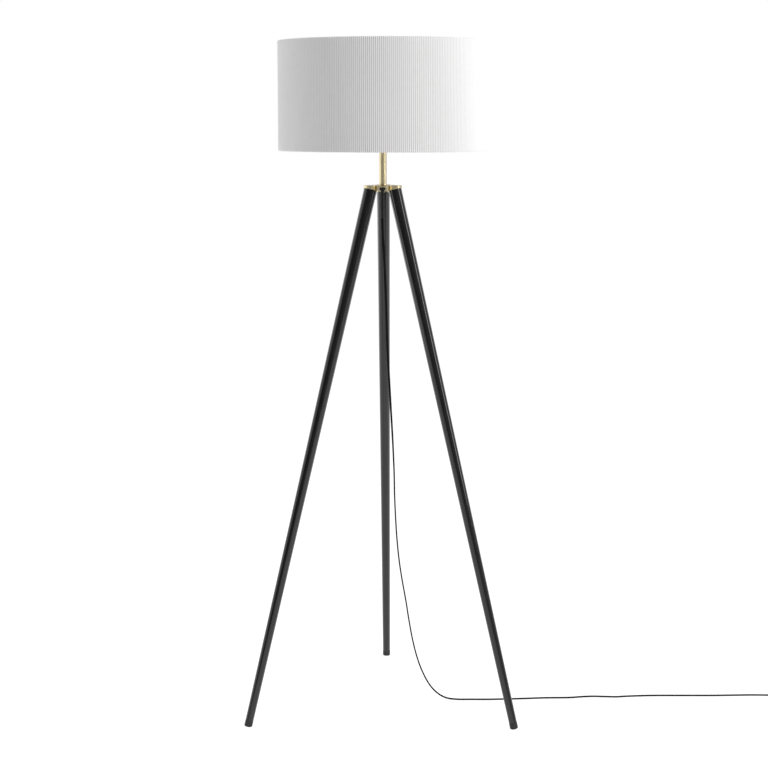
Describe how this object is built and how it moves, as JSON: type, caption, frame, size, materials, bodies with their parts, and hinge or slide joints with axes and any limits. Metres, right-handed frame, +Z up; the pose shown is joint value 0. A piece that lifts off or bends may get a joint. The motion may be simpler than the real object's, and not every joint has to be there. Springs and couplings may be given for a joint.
{
  "type": "tripod floor lamp",
  "caption": "Floor lamp with a pleated drum shade on a short stem and round hub, standing on splayed tapered legs, with a flat cord leaving the hub.",
  "frame": {"origin": "on the floor under the middle of the lamp's own box, without its cord", "axes": "+Z up along the stem, +Y towards the rear leg, -Y towards the front, where the cord leaves the hub"},
  "size_m": [1.2733, 0.5628, 1.46],
  "materials": {
    "polished_brass": "polished, pale",
    "plain_brass": "bare, turned",
    "black_lacquer": "satin black lacquer",
    "black_plastic": "moulded, matt",
    "black_rubber": "soft moulded",
    "cord_jacket": "smooth flexible jacket",
    "zinc_steel": "zinc plated",
    "nickel": "nickel plated",
    "holder_black": "moulded, slight gloss",
    "ceramic": "glazed",
    "white_wire": "white powder coat",
    "liner": "smooth sheet",
    "pleated_fabric": "fine vertical pleats",
    "black_glass": "vitrified, gloss",
    "white_plastic": "moulded, satin",
    "bare_aluminium": "milled",
    "opal_diffuser": "opal, satin"
  },
  "bodies": {
    "root": {"hub": "polished_brass", "hub_cover": "polished_brass", "leg_left": "black_lacquer", "leg_right": "black_lacquer", "leg_rear": "black_lacquer", "leg_studs": "zinc_steel", "leg_inserts": "plain_brass", "foot_left": "black_plastic", "foot_right": "black_plastic", "foot_rear": "black_plastic", "stem_tube": "polished_brass", "stem_rod": "zinc_steel", "stem_nut": "zinc_steel", "strain_relief": "black_rubber", "inner_flex": "cord_jacket", "core_wires": "cord_jacket", "holder_cup": "holder_black", "holder_sleeve": "holder_black", "holder_core": "ceramic", "screw_shell": "plain_brass", "centre_contact": "plain_brass", "terminal_screws": "plain_brass", "switch_block": "holder_black", "shade_ring_lower": "holder_black", "shade_ring_upper": "holder_black", "shade_frame": "white_wire", "shade_hoop_upper": "white_wire", "shade_liner": "liner", "shade_fabric": "pleated_fabric", "cord_run": "cord_jacket", "cord_coil": "cord_jacket", "cord_tie": "black_plastic", "cord_tail": "cord_jacket", "plug_boot": "black_rubber", "plug_body": "black_plastic", "plug_pins": "nickel"},
    "bar": {"push_bar": "black_plastic", "bar_buttons": "black_plastic"},
    "bulb_lift": {"bulb_contact": "zinc_steel"},
    "bulb": {"bulb_cap": "nickel", "bulb_insulator": "black_glass", "bulb_housing": "white_plastic", "bulb_board": "bare_aluminium", "bulb_globe": "opal_diffuser"}
  },
  "joints": [
    {"name": "switch_push", "type": "slide", "parent": "root", "child": "bar", "axis": [1, 0, 0], "range_m": [0, 0.005]},
    {"name": "bulb_rise", "type": "slide", "parent": "root", "child": "bulb_lift", "axis": [0, 0, 1], "range_m": [0, 0.0145]},
    {"name": "bulb_unscrew", "type": "hinge", "parent": "bulb_lift", "child": "bulb", "pos_m": [0, -0.05643, 1.3], "axis": [0, 0, 1], "range_deg": [0, 1440]}
  ],
  "couplings": [
    {"joint": "bulb_rise", "follows": "bulb_unscrew", "m_per_rad": 0.00057614}
  ]
}
